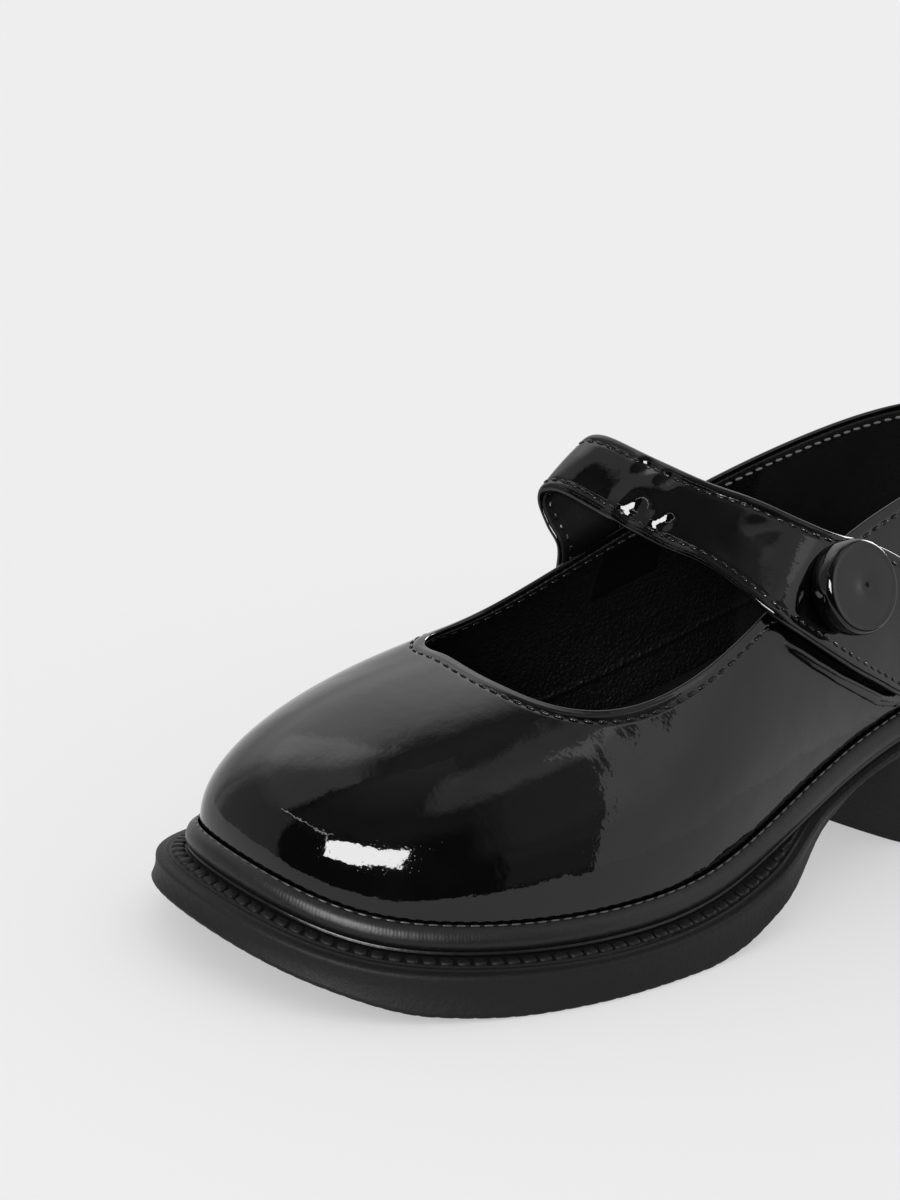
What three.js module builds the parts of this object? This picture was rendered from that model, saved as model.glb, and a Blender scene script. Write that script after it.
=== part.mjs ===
// Left round-toe mary jane: upper, insole, outsole, rand, block heel, strap and button.
// Millimetres. Toe towards -Y, heel towards +Y, outer (button) side +X, ground at Z = 0.
import * as THREE from 'three';

// --- driving sizes -------------------------------------------------------------------
const lastLength = 238.5; // back of the heel to the toe tip, at the feather line
const wall = 1.8; // thickness of the upper
const gap = 0.3; // between pieces that meet
const strapThick = 2.6; // two layers folded together
const strapGap = 0.6; // strap above the quarter it lies on
const insoleThick = 3.0;
const insoleDish = 1.2; // how far the footbed dips along its middle
const randDepth = 3.4;
const shelfDrop = 5.8; // rim of the outsole shelf below the feather line
const shelfInner = 4.6; // shelf beside the rand below the feather line
const rimRadius = 1.0;
const buttonRound = 0.18; // place round the shoe
const buttonRise = 0.84; // place up the side
const buttonGap = 0.6;
const buttonDimple = 6.6;
const buttonFacets = 36;
const heelInset = 0.8; // heel block inside the edge of the outsole
const heelRows = 16;
const heelCells = 6;
const breastBulge = 2.8; // front face of the heel, bowed forwards
const columns = 84; // facets round the shoe
const risers = 13; // facets from the feather line up to the topline
const half = columns / 2;

// Sections of the last, heel to toe. outer and inner: feather points; ridge: the virtual instep
// ridge; wall and crown: fullness low down and on top; flare: lean outwards; cut: topline.
const sectionNames = [
  'along', 'outer', 'inner', 'ridgeAlong', 'ridgeAcross', 'ridgeUp', 'wall', 'crown',
  'flareOut', 'flareIn', 'cutOut', 'cutIn',
];
const sections = table(sectionNames, [
  [0, 0, 0, 46, 0, 88, 0.4, 0.4, 7, 7, 0.51, 0.51],
  [6, 19.5, -19, 48, 0, 88, 0.4, 0.4, 6, 6, 0.5, 0.51],
  [28, 28.6, -27, 54, 0, 87, 0.415, 0.4, 5, 5, 0.485, 0.5],
  [56, 30.4, -26.7, 70, 0, 85, 0.45, 0.42, 4, 4, 0.468, 0.5],
  [84, 33, -24.5, 92, -1.5, 81.7, 0.49, 0.46, 4, 5, 0.458, 0.51],
  [112, 40.2, -27, 112, -2.7, 76.5, 0.52, 0.49, 4, 6, 0.442, 0.53],
  [138, 47, -33, 131, -3.5, 67.3, 0.54, 0.55, 4, 5, 0.456, 0.57],
  [162, 48.5, -38.4, 140.5, -3.7, 57, 0.555, 0.57, 3, 4, 0.5, 0.61],
  [184, 46.5, -41, 145.3, -4.2, 52, 0.575, 0.57, 3, 3, 0.59, 0.655],
  [204, 40.9, -40.5, 147.8, -4.3, 50.6, 0.575, 0.55, 3, 3, 0.68, 0.7],
  [222, 31, -35.6, 148.6, -4.6, 49.2, 0.575, 0.53, 3, 3, 0.74, 0.735],
  [234, 14.3, -24.5, 149, -4.6, 48.3, 0.59, 0.51, 3, 3, 0.77, 0.763],
  [lastLength, -11, -11, 149, -4.5, 48.5, 0.61, 0.51, 3, 3, 0.78, 0.78],
]);

// Heights and widths along the shoe.
const seat = table(['along', 'up'], [
  [-20, 46], [0, 45.8], [30, 44.2], [56, 40.4], [80, 35.2], [104, 28.2], [126, 18.8],
  [150, 14.4], [176, 14.7], [200, 16], [222, 18.2], [240, 26.2], [260, 33.3],
]);
const under = table(['along', 'up'], [
  [-20, 34.6], [0, 34.6], [30, 33.2], [56, 29.4], [75, 25.8], [85, 23.4], [95, 19.4],
  [105, 14.8], [115, 9.8], [125, 5.4], [136, 1.6], [148, 0], [192, 0], [215, 1.5],
  [235, 7.2], [255, 15.8],
]);
const shelf = table(['along', 'rim', 'foot'], [
  [-10, 4.6, 3.2], [70, 4.5, 2.2], [98, 4.6, 3.4], [125, 9.2, 10], [150, 9.7, 10.6],
  [180, 10.5, 11.5], [210, 10.5, 11.5], [250, 10, 11],
]);
// Heel block at the ground and where it meets the outsole: how far round the shoe each side
// reaches, inset from the outsole edge, and whether it follows the outsole.
const heelLevels = table(['outerRound', 'innerRound', 'inset', 'grade'], [
  [0.1325, 0.151, 0.9, 0],
  [0.147, 0.166, 0, 1],
]);

// Button from its foot to its rim.
const buttonProfile = table(['radius', 'up'], [
  [9.6, 0], [10.9, 0.9], [11.4, 3.2], [11.3, 5.6], [10.6, 7.1], [9.4, 7.6], [7, 7.1],
]);

// Strap stations laid on a quarter: round the shoe and up the side, front and rear edge.
const laidNames = ['frontRound', 'frontRise', 'rearRound', 'rearRise'];
const strapInner = table(laidNames, [
  [0.762, 0.075, 0.794, 0.075],
  [0.761, 0.25, 0.793, 0.25],
  [0.7595, 0.45, 0.7915, 0.45],
  [0.758, 0.65, 0.79, 0.66],
  [0.7568, 0.84, 0.7885, 0.85],
]);
// Free strap stations over the instep: front and rear edge.
const strapFree = table(['frontX', 'frontAlong', 'frontUp', 'rearX', 'rearAlong', 'rearUp'], [
  [-26.6, 132.3, 73.4, -24.4, 114.8, 81.8],
  [-29.4, 133.9, 78.6, -28.8, 119.3, 88.4],
  [-31.6, 134.9, 83.6, -31.4, 121, 94.6],
  [-30, 134.6, 87, -30, 121.1, 98.7],
  [-24.6, 132.8, 87.6, -24.6, 119.8, 100.2],
  [-12, 129, 84.6, -10.8, 116.7, 98.2],
  [3, 124.7, 81, 4.5, 112, 95.5],
  [18.2, 120, 78.4, 15.2, 104.5, 92.4],
]);
const strapOuter = table(laidNames, [
  [0.2145, 0.99, 0.1785, 1.12],
  [0.2015, 0.775, 0.166, 0.985],
  [0.189, 0.59, 0.154, 0.86],
  [0.1765, 0.425, 0.142, 0.72],
  [0.1635, 0.28, 0.128, 0.57],
  [0.152, 0.16, 0.113, 0.4],
  [0.143, 0.09, 0.098, 0.23],
  [0.138, 0.075, 0.089, 0.11],
]);
const strapSteps = 64;
const strapAcross = 5;
const strapCrown = 0.5;

// --- tables and curves ---------------------------------------------------------------
function table(names, rows) {
  return rows.map((row) => Object.fromEntries(names.map((name, i) => [name, row[i]])));
}

// Smooth monotone curve through one column of a table.
function along(rows, column, x, key = 'along') {
  const n = rows.length;
  const step = (i) => (rows[i + 1][column] - rows[i][column]) / (rows[i + 1][key] - rows[i][key]);
  const slope = (i) => {
    if (i === 0) return step(0);
    if (i === n - 1) return step(n - 2);
    const before = step(i - 1);
    const after = step(i);
    if (before * after <= 0) return 0;
    return (2 * before * after) / (before + after);
  };
  let i = 0;
  while (i < n - 2 && x > rows[i + 1][key]) i += 1;
  const h = rows[i + 1][key] - rows[i][key];
  const t = Math.min(Math.max((x - rows[i][key]) / h, 0), 1);
  const a = rows[i][column];
  const b = rows[i + 1][column];
  return (
    (2 * t ** 3 - 3 * t ** 2 + 1) * a +
    (t ** 3 - 2 * t ** 2 + t) * h * slope(i) +
    (3 * t ** 2 - 2 * t ** 3) * b +
    (t ** 3 - t ** 2) * h * slope(i + 1)
  );
}

// Uniform cubic B-spline weights.
function splineWeights(f) {
  return [
    (1 - f) ** 3 / 6,
    (3 * f ** 3 - 6 * f ** 2 + 4) / 6,
    (-3 * f ** 3 + 3 * f ** 2 + 3 * f + 1) / 6,
    f ** 3 / 6,
  ];
}

// Control loop round the shoe: outer side heel to toe, then inner side toe to heel.
function controlLoop() {
  const place = (s, side) => ({
    feather: new THREE.Vector3(side ? s.inner : s.outer, s.along, along(seat, 'up', s.along)),
    ridge: new THREE.Vector3(s.ridgeAcross, s.ridgeAlong, along(seat, 'up', s.ridgeAlong) + s.ridgeUp),
    wall: s.wall,
    crown: s.crown,
    flare: side ? s.flareIn : s.flareOut,
    cut: side ? s.cutIn : s.cutOut,
  });
  const outer = sections.map((s) => place(s, 0));
  const inner = sections.slice(1, -1).reverse().map((s) => place(s, 1));
  const loop = [...outer, ...inner];
  const n = loop.length;
  loop.forEach((p, i) => {
    const ahead = loop[(i + 1) % n].feather;
    const back = loop[(i + n - 1) % n].feather;
    const out = new THREE.Vector3(ahead.y - back.y, back.x - ahead.x, 0).normalize();
    const rise = p.ridge.z - p.feather.z;
    const low = p.feather.clone().addScaledVector(out, p.flare);
    low.z += rise * p.wall;
    const top = p.ridge.clone();
    top.x += (p.feather.x - p.ridge.x) * p.crown;
    top.y += (p.feather.y - p.ridge.y) * p.crown;
    p.net = [p.feather, low, top, p.ridge];
  });
  return loop;
}
const loop = controlLoop();

// Point of the last: B-spline round the shoe, cubic Bezier from the feather line upwards.
function last(round, rise) {
  const n = loop.length;
  const x = (((round % 1) + 1) % 1) * n;
  const i = Math.floor(x);
  const w = splineWeights(x - i);
  let cut = 0;
  const net = [0, 1, 2, 3].map(() => new THREE.Vector3());
  w.forEach((weight, k) => {
    const p = loop[(i + k - 1 + n) % n];
    cut += weight * p.cut;
    net.forEach((v, j) => v.addScaledVector(p.net[j], weight));
  });
  const t = rise * cut;
  const b = [(1 - t) ** 3, 3 * t * (1 - t) ** 2, 3 * t * t * (1 - t), t ** 3];
  const point = new THREE.Vector3();
  net.forEach((v, j) => point.addScaledVector(v, b[j]));
  return point;
}

// Outward normal of the last.
function lastNormal(round, rise) {
  const e = 1e-3;
  const a = last(round + e, rise).sub(last(round - e, rise));
  const b = last(round, rise + e).sub(last(round, rise - e));
  return a.cross(b).normalize();
}

// Last moved out along its normal.
function shell(round, rise, out) {
  return last(round, rise).addScaledVector(lastNormal(round, rise), out);
}

// Feather line moved outwards in plan.
function outline(round, out) {
  const e = 1e-4;
  const p = last(round, 0);
  const d = last(round + e, 0).sub(last(round - e, 0));
  const length = Math.hypot(d.x, d.y);
  p.x += (d.y / length) * out;
  p.y -= (d.x / length) * out;
  return p;
}

// --- solids from rings ---------------------------------------------------------------
// The shoe runs heel to toe while it is shaped; a solid is turned into the frame at the end.
function solid(name, points, faces, colour, roughness, metalness = 0) {
  const flat = new Float32Array(points.flatMap((p) => [p.x, lastLength / 2 - p.y, p.z]));
  const index = faces.flatMap(([a, b, c]) => [a, c, b]);
  const geometry = new THREE.BufferGeometry();
  geometry.setAttribute('position', new THREE.BufferAttribute(flat, 3));
  geometry.setIndex(index);
  const material = new THREE.MeshStandardMaterial({ color: colour, roughness, metalness });
  const mesh = new THREE.Mesh(geometry, material);
  mesh.name = name;
  if (volume(geometry) < 0) geometry.setIndex(faces.flat());
  return mesh;
}

function volume(geometry) {
  const p = geometry.getAttribute('position');
  const index = geometry.getIndex().array;
  const corner = (k) => new THREE.Vector3().fromBufferAttribute(p, k);
  let sum = 0;
  for (let i = 0; i < index.length; i += 3) {
    sum += corner(index[i]).dot(corner(index[i + 1]).cross(corner(index[i + 2])));
  }
  return sum / 6;
}

// Quads between consecutive closed rings of n points; closed joins the last ring to the first.
function ringFaces(rings, n, closed) {
  const faces = [];
  const bands = closed ? rings : rings - 1;
  for (let r = 0; r < bands; r += 1) {
    const a = r * n;
    const b = ((r + 1) % rings) * n;
    for (let i = 0; i < n; i += 1) {
      const j = (i + 1) % n;
      faces.push([a + i, a + j, b + j], [a + i, b + j, b + i]);
    }
  }
  return faces;
}

// Closes the first or the last ring with cross rows from the outer to the inner side.
function ladderCap(points, faces, start, cells, lift, closing) {
  const add = (a, b, c) => faces.push(closing ? [a, b, c] : [a, c, b]);
  const rows = [];
  for (let i = 0; i <= half; i += 1) {
    const outer = start + i;
    const inner = start + ((columns - i) % columns);
    if (outer === inner) {
      rows.push([outer]);
      continue;
    }
    const row = [outer];
    for (let k = 1; k < cells; k += 1) {
      const p = points[outer].clone().lerp(points[inner], k / cells);
      p.z += lift(k / cells, p);
      row.push(points.push(p) - 1);
    }
    row.push(inner);
    rows.push(row);
  }
  for (let i = 0; i < half; i += 1) {
    const a = rows[i];
    const b = rows[i + 1];
    for (let k = 0; k < cells; k += 1) {
      if (a.length === 1) add(a[0], b[k], b[k + 1]);
      else if (b.length === 1) add(a[k], b[0], a[k + 1]);
      else {
        add(a[k], b[k], b[k + 1]);
        add(a[k], b[k + 1], a[k + 1]);
      }
    }
  }
}

function ring(make) {
  return Array.from({ length: columns }, (_, i) => make(i / columns));
}

// --- pieces --------------------------------------------------------------------------
function upper() {
  const points = [];
  for (let k = 0; k <= risers; k += 1) points.push(...ring((u) => shell(u, k / risers, 0)));
  for (let k = risers; k >= 0; k -= 1) points.push(...ring((u) => shell(u, k / risers, -wall)));
  const faces = ringFaces(2 * (risers + 1), columns, true);
  return solid('upper', points, faces, 0x0b0b0d, 0.12);
}

// Footbed resting on the outsole inside the upper.
function insole() {
  const inset = wall + gap + 0.1;
  const level = (u, out, up) => {
    const p = outline(u, -out);
    p.z += up;
    return p;
  };
  const points = [
    ...ring((u) => level(u, inset, 0)),
    ...ring((u) => level(u, inset, insoleThick - 0.4)),
    ...ring((u) => level(u, inset + 0.5, insoleThick)),
  ];
  const faces = ringFaces(3, columns, false);
  ladderCap(points, faces, 0, 2, () => 0, false);
  ladderCap(points, faces, 2 * columns, 4, (t) => -insoleDish * 4 * t * (1 - t), true);
  return solid('insole', points, faces, 0x141416, 0.6);
}

// Moulded sole unit: platform under the upper, shelf round it, side wall and arched underside.
function outsole() {
  const rim = (u) => along(shelf, 'rim', last(u, 0).y);
  const foot = (u) => along(shelf, 'foot', last(u, 0).y);
  const at = (u, out, drop) => {
    const p = outline(u, out);
    p.z -= drop;
    return p;
  };
  const ground = (u, out, up) => {
    const p = outline(u, out);
    p.z = along(under, 'up', p.y) + up;
    return p;
  };
  const points = [
    ...ring((u) => at(u, -0.4, gap)),
    ...ring((u) => at(u, 0, shelfInner)),
    ...ring((u) => at(u, rim(u) - rimRadius, shelfDrop)),
    ...ring((u) => at(u, rim(u), shelfDrop + rimRadius)),
    ...ring((u) => ground(u, foot(u), 0.8)),
    ...ring((u) => ground(u, foot(u) - 0.8, 0)),
  ];
  const faces = ringFaces(6, columns, false);
  ladderCap(points, faces, 0, 2, () => 0, false);
  ladderCap(points, faces, 5 * columns, 2, () => 0, true);
  return solid('outsole', points, faces, 0x1b1b1d, 0.7);
}

// Rounded bead lying in the corner between the upper and the shelf.
function rand() {
  const profile = [
    [0.45, 0.6], [1.4, 0.9], [2.6, 0.2], [randDepth, -1.4],
    [randDepth, -2.9], [randDepth - 0.5, gap - shelfInner], [0.4, gap - shelfInner],
  ];
  const points = profile.flatMap(([out, up]) => ring((u) => {
    const p = outline(u, out);
    p.z += up;
    return p;
  }));
  const faces = ringFaces(profile.length, columns, true);
  return solid('rand', points, faces, 0x161618, 0.35);
}

// Block heel below the outsole: rows across the shoe from the back to the breast.
function heel() {
  const grid = (level) => {
    const rows = [];
    for (let k = 0; k <= heelRows; k += 1) {
      const f = k / heelRows;
      const out = (u) => along(shelf, 'foot', last(u, 0).y) - heelInset - level.inset;
      const outer = outline(level.outerRound * f, out(level.outerRound * f));
      const inner = outline(1 - level.innerRound * f, out(1 - level.innerRound * f));
      const row = [];
      for (let j = 0; j <= heelCells; j += 1) {
        const t = j / heelCells;
        const p = outer.clone().lerp(inner, t);
        p.y += f * breastBulge * 4 * t * (1 - t);
        p.z = level.grade ? along(under, 'up', p.y) - gap - 0.1 : 0;
        row.push(p);
      }
      rows.push(k === 0 ? [row[0]] : row);
    }
    return rows;
  };
  const points = [];
  const number = (rows) => rows.map((row) => row.map((p) => points.push(p) - 1));
  const low = number(grid(heelLevels[0]));
  const high = number(grid(heelLevels[1]));
  const faces = [];
  const sheet = (rows, up) => {
    const add = (a, b, c) => faces.push(up ? [a, b, c] : [a, c, b]);
    for (let k = 0; k < heelRows; k += 1) {
      for (let j = 0; j < heelCells; j += 1) {
        const [a, b] = [rows[k], rows[k + 1]];
        if (a.length === 1) add(a[0], b[j], b[j + 1]);
        else {
          add(a[j], b[j], b[j + 1]);
          add(a[j], b[j + 1], a[j + 1]);
        }
      }
    }
  };
  sheet(low, false);
  sheet(high, true);
  const rimOf = (rows) => [
    ...rows.map((row) => row[0]),
    ...rows[heelRows].slice(1, -1),
    ...rows.slice(1).map((row) => row[row.length - 1]).reverse(),
  ];
  const a = rimOf(low);
  const b = rimOf(high);
  a.forEach((_, i) => {
    const j = (i + 1) % a.length;
    faces.push([a[i], a[j], b[j]], [a[i], b[j], b[i]]);
  });
  return solid('heel', points, faces, 0x141415, 0.65);
}

// Strap stations: laid on the inner quarter, free over the instep, laid on the outer quarter.
function strapStations() {
  const mid = strapGap + strapThick / 2;
  const across = Array.from({ length: strapAcross + 1 }, (_, k) => k / strapAcross);
  const onLast = (s, out) => across.map((t) => {
    const round = s.frontRound + (s.rearRound - s.frontRound) * t;
    const rise = s.frontRise + (s.rearRise - s.frontRise) * t;
    return shell(round, rise, out);
  });
  const open = (s) => {
    const front = new THREE.Vector3(s.frontX, s.frontAlong, s.frontUp);
    const rear = new THREE.Vector3(s.rearX, s.rearAlong, s.rearUp);
    return across.map((t) => front.clone().lerp(rear, t));
  };
  return [
    ...strapInner.map((s) => onLast(s, mid)),
    ...strapFree.map(open),
    ...strapOuter.map((s) => onLast(s, mid)),
  ];
}

// Catmull-Rom through the stations, then thickened both ways along its own normal.
function strap() {
  const stations = strapStations();
  const count = stations.length;
  const at = (s, k) => {
    const x = Math.min(Math.max(s, 0), 1) * (count - 1);
    const i = Math.min(Math.floor(x), count - 2);
    const f = x - i;
    const w = [
      (-(f ** 3) + 2 * f ** 2 - f) / 2,
      (3 * f ** 3 - 5 * f ** 2 + 2) / 2,
      (-3 * f ** 3 + 4 * f ** 2 + f) / 2,
      (f ** 3 - f ** 2) / 2,
    ];
    const p = new THREE.Vector3();
    w.forEach((weight, j) => {
      const row = stations[Math.min(Math.max(i + j - 1, 0), count - 1)];
      p.addScaledVector(row[k], weight);
    });
    return p;
  };
  const normal = (s, k) => {
    const run = at(s + 2e-3, k).sub(at(s - 2e-3, k));
    const side = at(s, strapAcross).sub(at(s, 0));
    return side.cross(run).normalize();
  };
  const points = [];
  for (let i = 0; i <= strapSteps; i += 1) {
    const s = i / strapSteps;
    const ringOut = [];
    const ringIn = [];
    for (let k = 0; k <= strapAcross; k += 1) {
      const t = k / strapAcross;
      const bow = strapCrown * 4 * t * (1 - t) * freeShare(s);
      const p = at(s, k);
      const n = normal(s, k);
      ringOut.push(p.clone().addScaledVector(n, bow + strapThick / 2));
      ringIn.push(p.clone().addScaledVector(n, bow - strapThick / 2));
    }
    points.push(...ringOut, ...ringIn.reverse());
  }
  const n = 2 * (strapAcross + 1);
  const faces = ringFaces(strapSteps + 1, n, false);
  const end = (start, up) => {
    for (let k = 0; k < strapAcross; k += 1) {
      const q = [start + k, start + k + 1, start + n - 2 - k, start + n - 1 - k];
      faces.push(up ? [q[0], q[1], q[2]] : [q[0], q[2], q[1]]);
      faces.push(up ? [q[0], q[2], q[3]] : [q[0], q[3], q[2]]);
    }
  };
  end(0, false);
  end(strapSteps * n, true);
  return solid('strap', points, faces, 0x0b0b0d, 0.12);
}

// One over the free span of the strap, easing to nothing where it lies on the quarter.
function freeShare(s) {
  const count = strapInner.length + strapFree.length + strapOuter.length - 1;
  const from = (strapInner.length - 1) / count;
  const to = (strapInner.length + strapFree.length - 1) / count;
  const f = Math.min(Math.max((s - from) / (to - from), 0), 1);
  return Math.sin(Math.PI * f) ** 2;
}

// Covered button, turned about the normal of the outer quarter.
function button() {
  const foot = strapGap + strapThick + buttonGap;
  const centre = shell(buttonRound, buttonRise, foot);
  const axis = lastNormal(buttonRound, buttonRise);
  const side = new THREE.Vector3(0, 0, 1).cross(axis).normalize();
  const up = axis.clone().cross(side);
  const points = [];
  buttonProfile.forEach((row) => {
    for (let i = 0; i < buttonFacets; i += 1) {
      const a = (2 * Math.PI * i) / buttonFacets;
      const p = centre.clone().addScaledVector(axis, row.up);
      p.addScaledVector(side, row.radius * Math.cos(a));
      p.addScaledVector(up, row.radius * Math.sin(a));
      points.push(p);
    }
  });
  const faces = ringFaces(buttonProfile.length, buttonFacets, false);
  const lowCentre = points.push(centre.clone()) - 1;
  const topCentre = points.push(centre.clone().addScaledVector(axis, buttonDimple)) - 1;
  const topStart = (buttonProfile.length - 1) * buttonFacets;
  for (let i = 0; i < buttonFacets; i += 1) {
    const j = (i + 1) % buttonFacets;
    faces.push([lowCentre, j, i], [topCentre, topStart + i, topStart + j]);
  }
  return solid('button', points, faces, 0x0b0b0d, 0.12);
}

const shoe = new THREE.Group();
shoe.name = 'mary_jane';
shoe.add(upper(), insole(), outsole(), rand(), heel(), strap(), button());

// Stands centred on its footprint, on the ground.
const box = new THREE.Box3().setFromObject(shoe);
const middle = box.getCenter(new THREE.Vector3());
shoe.children.forEach((mesh) => mesh.geometry.translate(-middle.x, -middle.y, -box.min.z));

export default shoe;
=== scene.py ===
import math

import bmesh
import bpy
import numpy as np
from mathutils import Matrix


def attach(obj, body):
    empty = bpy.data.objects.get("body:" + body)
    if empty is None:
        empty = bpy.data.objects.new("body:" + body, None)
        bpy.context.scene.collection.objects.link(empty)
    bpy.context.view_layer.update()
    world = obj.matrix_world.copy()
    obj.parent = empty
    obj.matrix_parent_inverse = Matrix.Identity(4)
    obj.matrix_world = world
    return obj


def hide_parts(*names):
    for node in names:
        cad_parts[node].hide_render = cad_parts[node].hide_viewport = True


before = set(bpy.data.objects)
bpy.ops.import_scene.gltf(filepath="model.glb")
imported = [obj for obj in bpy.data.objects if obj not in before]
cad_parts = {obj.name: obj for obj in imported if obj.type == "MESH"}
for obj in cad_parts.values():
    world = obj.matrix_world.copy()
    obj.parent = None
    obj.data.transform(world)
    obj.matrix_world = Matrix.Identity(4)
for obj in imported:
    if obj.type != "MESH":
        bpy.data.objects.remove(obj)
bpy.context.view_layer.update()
mm = 0.001

# everything is shaped in the shoemaker's own millimetres: across (outer side positive),
# along (from the back of the heel towards the toe) and up. place() turns it into the frame
placing = dict(across=3.4175, along=122.8075)


# millimetres across, along, up into metres in the frame: x = across - shift, y = shift - along
def place(points):
    x = points[..., 0] - placing["across"]
    y = placing["along"] - points[..., 1]
    return np.stack((x, y, points[..., 2]), -1) * mm


# a table as a dictionary of columns
def named(names, rows):
    return dict(zip(names.split(), np.array(rows, float).T))


# the last, heel to toe: feather points, virtual instep ridge, fullness, lean and topline
sectionNames = "along outer inner ridgeAlong ridgeAcross ridgeUp wall crown flareOut flareIn cutOut cutIn"
sections = named(sectionNames, [
    [0, 0, 0, 46, 0, 88, .4, .4, 7, 7, .51, .51],
    [6, 19.5, -19, 48, 0, 88, .4, .4, 6, 6, .5, .51],
    [28, 28.6, -27, 54, 0, 87, .415, .4, 5, 5, .485, .5],
    [56, 30.4, -26.7, 70, 0, 85, .45, .42, 4, 4, .468, .5],
    [84, 33, -24.5, 92, -1.5, 81.7, .49, .46, 4, 5, .458, .51],
    [112, 40.2, -27, 112, -2.7, 76.5, .52, .49, 4, 6, .442, .53],
    [138, 47, -33, 131, -3.5, 67.3, .54, .55, 4, 5, .456, .57],
    [162, 48.5, -38.4, 140.5, -3.7, 57, .555, .57, 3, 4, .5, .61],
    [184, 46.5, -41, 145.3, -4.2, 52, .575, .57, 3, 3, .59, .655],
    [204, 40.9, -40.5, 147.8, -4.3, 50.6, .575, .55, 3, 3, .68, .7],
    [222, 31, -35.6, 148.6, -4.6, 49.2, .575, .53, 3, 3, .74, .735],
    [234, 14.3, -24.5, 149, -4.6, 48.3, .59, .51, 3, 3, .77, .763],
    [238.5, -11, -11, 149, -4.5, 48.5, .61, .51, 3, 3, .78, .78],
])
# heights of the feather line and of the sole's underside, and how far rim and foot stand out
seat = named("along up", [
    [-20, 46], [0, 45.8], [30, 44.2], [56, 40.4], [80, 35.2], [104, 28.2], [126, 18.8],
    [150, 14.4], [176, 14.7], [200, 16], [222, 18.2], [240, 26.2], [260, 33.3],
])
under = named("along up", [
    [-20, 34.6], [0, 34.6], [30, 33.2], [56, 29.4], [75, 25.8], [85, 23.4], [95, 19.4],
    [105, 14.8], [115, 9.8], [125, 5.4], [136, 1.6], [148, 0], [192, 0], [215, 1.5],
    [235, 7.2], [255, 15.8],
])
shelf = named("along rim foot", [
    [-10, 4.6, 3.2], [70, 4.5, 2.2], [98, 4.6, 3.4], [125, 9.2, 10], [150, 9.7, 10.6],
    [180, 10.5, 11.5], [210, 10.5, 11.5], [250, 10, 11],
])


# monotone cubic through a column of a table: slopes are harmonic means of the neighbouring chords
def curve(table, column, x):
    xs, ys = table["along"], table[column]
    chord = np.diff(ys) / np.diff(xs)
    product = chord[:-1] * chord[1:]
    total = np.where(product > 0, chord[:-1] + chord[1:], 1)
    slope = np.concatenate((chord[:1], np.where(product > 0, 2 * product / total, 0), chord[-1:]))
    i = np.clip(np.searchsorted(xs, x, side="right") - 1, 0, len(xs) - 2)
    h = xs[i + 1] - xs[i]
    t = np.clip((x - xs[i]) / h, 0, 1)
    return ((2 * t**3 - 3 * t**2 + 1) * ys[i] + (t**3 - 2 * t**2 + t) * h * slope[i]
            + (3 * t**2 - 2 * t**3) * ys[i + 1] + (t**3 - t**2) * h * slope[i + 1])


# vectors divided by their lengths
def unit(vectors):
    return vectors / np.linalg.norm(vectors, axis=-1, keepdims=True)


# 0 below low, 1 above high, 3 t^2 - 2 t^3 in between
def smoothStep(x, low, high):
    t = np.clip((x - low) / (high - low), 0, 1)
    return t * t * (3 - 2 * t)


# soft hill: exp(-((x - centre) / width)^2)
def hill(x, centre, width):
    return np.exp(-((x - centre) / width)**2)


# quarter circle of an edge, level to steep: radius * (1 - cos) and radius * (1 - sin)
def edgeArc(radius, rows):
    a = np.linspace(0, np.pi / 2, rows)[:, None]
    return radius * (1 - np.cos(a)), radius * (1 - np.sin(a))


# length along a line of points up to each of them
def lengthAlong(path):
    return np.concatenate(([0], np.cumsum(np.linalg.norm(np.diff(path, axis=0), axis=1))))


# places round the shoe, evenly spaced from 0 up to 1
def placesRound(count):
    return np.arange(count) / count


# control nets round the shoe, outer side heel to toe and inner side back: feather point, low point =
# feather + lean outwards + wall share of the height, top point = ridge + crown share, ridge point
def controlLoop():
    s = sections
    count = len(s["along"])
    row = np.concatenate((np.arange(count), np.arange(count - 2, 0, -1)))
    inner = np.arange(len(row)) >= count
    side = lambda out, into: np.where(inner, s[into][row], s[out][row])
    feather = np.stack((side("outer", "inner"), s["along"][row], curve(seat, "up", s["along"][row])), -1)
    ridgeUp = curve(seat, "up", s["ridgeAlong"][row]) + s["ridgeUp"][row]
    ridge = np.stack((s["ridgeAcross"][row], s["ridgeAlong"][row], ridgeUp), -1)
    step = np.roll(feather, -1, 0) - np.roll(feather, 1, 0)
    out = unit(np.stack((step[:, 1], -step[:, 0], 0 * step[:, 0]), -1))
    low = feather + out * side("flareOut", "flareIn")[:, None]
    low[:, 2] += (ridge - feather)[:, 2] * s["wall"][row]
    top = ridge.copy()
    top[:, :2] += (feather - ridge)[:, :2] * s["crown"][row][:, None]
    return np.stack((feather, low, top, ridge), 1), side("cutOut", "cutIn")


nets, cuts = controlLoop()


# point of the last: cubic B-spline round the shoe, cubic Bezier from the feather line (rise 0) past the
# topline (rise 1)
def last(around, rise):
    around, rise = np.broadcast_arrays(around, rise)
    x = (around % 1) * len(nets)
    i = np.floor(x).astype(int)
    f = x - i
    weight = np.stack(((1 - f)**3, 3 * f**3 - 6 * f**2 + 4, -3 * f**3 + 3 * f**2 + 3 * f + 1, f**3), -1) / 6
    near = (i[..., None] + np.arange(-1, 3)) % len(nets)
    net = (weight[..., None, None] * nets[near]).sum(-3)
    t = rise * (weight * cuts[near]).sum(-1)
    bezier = np.stack(((1 - t)**3, 3 * t * (1 - t)**2, 3 * t * t * (1 - t), t**3), -1)
    return (bezier[..., None] * net).sum(-2)


# outward normal: cross product of the differences round the shoe and up the side
def lastNormal(around, rise, e=1e-3):
    a = last(around + e, rise) - last(around - e, rise)
    b = last(around, rise + e) - last(around, rise - e)
    return unit(np.cross(a, b))


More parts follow.
